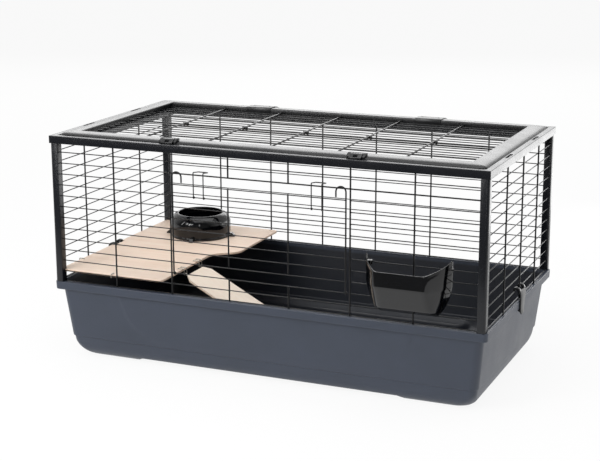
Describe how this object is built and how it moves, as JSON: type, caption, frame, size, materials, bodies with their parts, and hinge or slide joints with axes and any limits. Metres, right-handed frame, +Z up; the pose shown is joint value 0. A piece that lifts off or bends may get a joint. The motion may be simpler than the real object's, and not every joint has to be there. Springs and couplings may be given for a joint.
{
  "type": "ferret cage",
  "caption": "Oblong wire cage on a moulded tub, with a hinged lid, drop-down front door, platform with ramp, food bowl and hay rack.",
  "frame": {"origin": "on the ground, under the middle of the whole object with its hay rack", "axes": "+Z up, +X to the right along the length, the front with the door and the hay rack faces -Y"},
  "size_m": [1.0136, 0.5908, 0.523],
  "materials": {
    "tub": "satin",
    "frame": "satin",
    "wire": "satin",
    "hook": "satin",
    "clip": "satin",
    "platform": "matte",
    "ramp": "matte",
    "gloss": "gloss"
  },
  "bodies": {
    "cage": {"tub": "tub", "corner_post_front_left": "frame", "corner_post_front_right": "frame", "corner_post_rear_left": "frame", "corner_post_rear_right": "frame", "top_rail_front": "frame", "top_rail_rear": "frame", "top_rail_right": "frame", "top_rail_left": "frame", "wire_panel_front": "wire", "wire_panel_rear": "wire", "wire_panel_right": "wire", "wire_panel_left": "wire", "lid_hinge_leaf_fixed_left": "clip", "lid_hinge_pin_left": "hook", "lid_hinge_leaf_fixed_right": "clip", "lid_hinge_pin_right": "hook", "platform": "platform", "platform_hook_front": "hook", "platform_hook_rear": "hook", "platform_hook_left_front": "hook", "platform_hook_left_rear": "hook", "ramp_hanger_front": "hook", "ramp_hanger_rear": "hook"},
    "lid": {"lid_ring": "frame", "lid_grille": "wire", "lid_hinge_leaf_moving_left": "clip", "lid_hinge_leaf_moving_right": "clip", "lid_latch_base_left": "clip", "lid_latch_base_right": "clip"},
    "ramp": {"ramp": "ramp", "ramp_eye_front": "hook", "ramp_eye_rear": "hook"},
    "front_door": {"front_door": "wire"},
    "door_hoop_left": {"door_hoop_left": "wire"},
    "door_hoop_right": {"door_hoop_right": "wire"},
    "lid_latch_left": {"lid_latch_left": "clip"},
    "lid_latch_right": {"lid_latch_right": "clip"},
    "side_clip_left": {"side_clip_left": "clip"},
    "side_clip_right": {"side_clip_right": "clip"},
    "food_bowl": {"food_bowl": "gloss"},
    "hay_rack": {"hay_rack": "gloss"}
  },
  "joints": [
    {"name": "lid_hinge", "type": "hinge", "parent": "cage", "child": "lid", "pos_m": [0, 0.28377, 0.5145], "axis": [-1, 0, 0], "range_deg": [0, 105]},
    {"name": "lid_latch_left_pivot", "type": "hinge", "parent": "lid", "child": "lid_latch_left", "pos_m": [-0.214, -0.20913, 0.5206], "axis": [-1, 0, 0], "range_deg": [0, 95]},
    {"name": "lid_latch_right_pivot", "type": "hinge", "parent": "lid", "child": "lid_latch_right", "pos_m": [0.214, -0.20913, 0.5206], "axis": [-1, 0, 0], "range_deg": [0, 95]},
    {"name": "door_hinge", "type": "hinge", "parent": "cage", "child": "front_door", "pos_m": [0, -0.22712, 0.2286], "axis": [1, 0, 0], "range_deg": [0, 160]},
    {"name": "door_hoop_left_pivot", "type": "hinge", "parent": "front_door", "child": "door_hoop_left", "pos_m": [-0.138, -0.22812, 0.4008], "axis": [1, 0, 0], "range_deg": [0, 80]},
    {"name": "door_hoop_right_pivot", "type": "hinge", "parent": "front_door", "child": "door_hoop_right", "pos_m": [0.133, -0.22812, 0.4008], "axis": [1, 0, 0], "range_deg": [0, 80]},
    {"name": "side_clip_left_pivot", "type": "hinge", "parent": "cage", "child": "side_clip_left", "pos_m": [-0.494, 0.02888, 0.204], "axis": [0, 1, 0], "range_deg": [0, 60]},
    {"name": "side_clip_right_pivot", "type": "hinge", "parent": "cage", "child": "side_clip_right", "pos_m": [0.494, 0.02888, 0.204], "axis": [0, -1, 0], "range_deg": [0, 60]},
    {"name": "ramp_hinge", "type": "hinge", "parent": "cage", "child": "ramp", "pos_m": [-0.23045, -0.08513, 0.195], "axis": [0, -1, 0], "range_deg": [0, 70]},
    {"name": "bowl_lift", "type": "slide", "parent": "cage", "child": "food_bowl", "axis": [0, 0, 1], "range_m": [0, 0.18]},
    {"name": "rack_lift", "type": "slide", "parent": "cage", "child": "hay_rack", "axis": [0, 0, 1], "range_m": [0, 0.016]}
  ]
}
